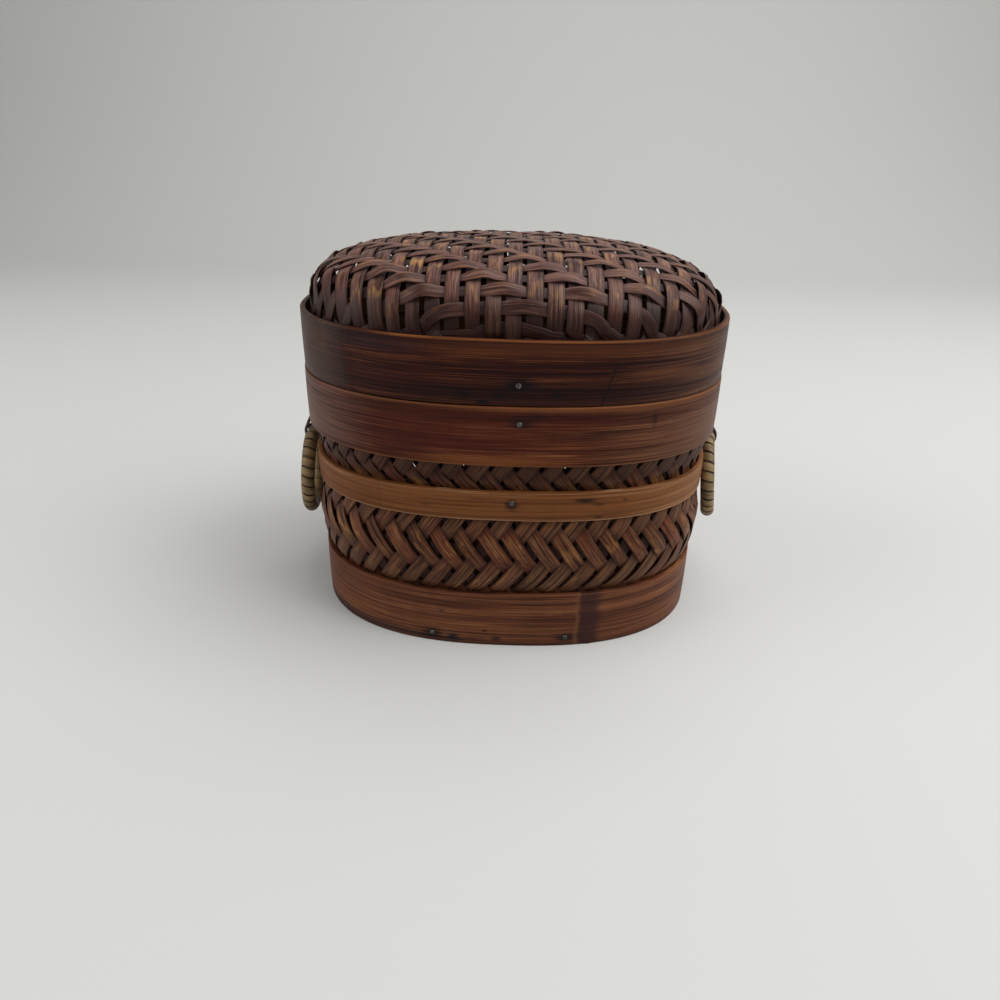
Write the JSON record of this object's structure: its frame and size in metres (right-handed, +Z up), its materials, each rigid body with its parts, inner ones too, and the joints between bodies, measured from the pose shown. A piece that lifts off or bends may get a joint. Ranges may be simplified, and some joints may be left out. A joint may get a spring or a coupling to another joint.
{
  "type": "woven bamboo trinket box",
  "caption": "Rounded oblong basket box of plaited bamboo with bent bamboo hoops, a lift-off domed lid and a cane-bound ring handle at each end.",
  "frame": {"origin": "on the resting plane, under the centre of the box", "axes": "+X along the long side, from the left handle to the right handle as the front is seen; +Y from the front to the back; +Z up"},
  "size_m": [0.1844, 0.1286, 0.1473],
  "materials": {
    "lid_hoop": "dark red-brown stained bamboo, satin",
    "rim_hoop": "red-brown stained bamboo, satin",
    "waist_hoop": "golden brown bamboo, smooth satin",
    "foot_hoop": "mid brown stained bamboo, satin",
    "inner_hoop": "light brown bamboo, matte",
    "body_weave": "plaited bamboo splints, brown and ochre, satin",
    "dome_weave": "plaited bamboo splints, purple-brown, satin",
    "cane": "olive-tan split cane, satin",
    "rattan": "round rattan, matte",
    "tie": "thin dark cane, matte",
    "brad": "dull grey steel"
  },
  "bodies": {
    "basket": {"woven_body": "body_weave", "foot_hoop": "foot_hoop", "foot_inner_hoop": "inner_hoop", "waist_hoop": "waist_hoop", "waist_inner_hoop": "inner_hoop", "rim_hoop": "rim_hoop", "rim_collar": "inner_hoop", "handle_tie_left": "tie", "handle_tie_right": "tie", "foot_brad_back_left": "brad", "foot_brad_back_right": "brad", "foot_brad_front_left": "brad", "foot_brad_front_right": "brad", "waist_brad_back": "brad", "waist_brad_front": "brad", "rim_brad_back": "brad", "rim_brad_front": "brad", "rim_brad_left": "brad", "rim_brad_right": "brad"},
    "lid": {"woven_dome": "dome_weave", "lid_hoop": "lid_hoop", "lid_inner_hoop": "inner_hoop", "lid_brad_back": "brad", "lid_brad_front": "brad", "lid_brad_left": "brad", "lid_brad_right": "brad"},
    "handle_left": {"ring_core_left": "rattan", "ring_binding_left": "cane"},
    "handle_right": {"ring_core_right": "rattan", "ring_binding_right": "cane"}
  },
  "joints": [
    {"name": "lid_lift", "type": "slide", "parent": "basket", "child": "lid", "axis": [0, 0, 1], "range_m": [0, 0.1]},
    {"name": "handle_left_swing", "type": "hinge", "parent": "basket", "child": "handle_left", "pos_m": [-0.0864, 0, 0.0655], "axis": [-0.1736, 0.9848, 0], "range_deg": [0, 165]},
    {"name": "handle_right_swing", "type": "hinge", "parent": "basket", "child": "handle_right", "pos_m": [0.0864, 0, 0.069], "axis": [-0.1736, -0.9848, 0], "range_deg": [0, 165]}
  ]
}
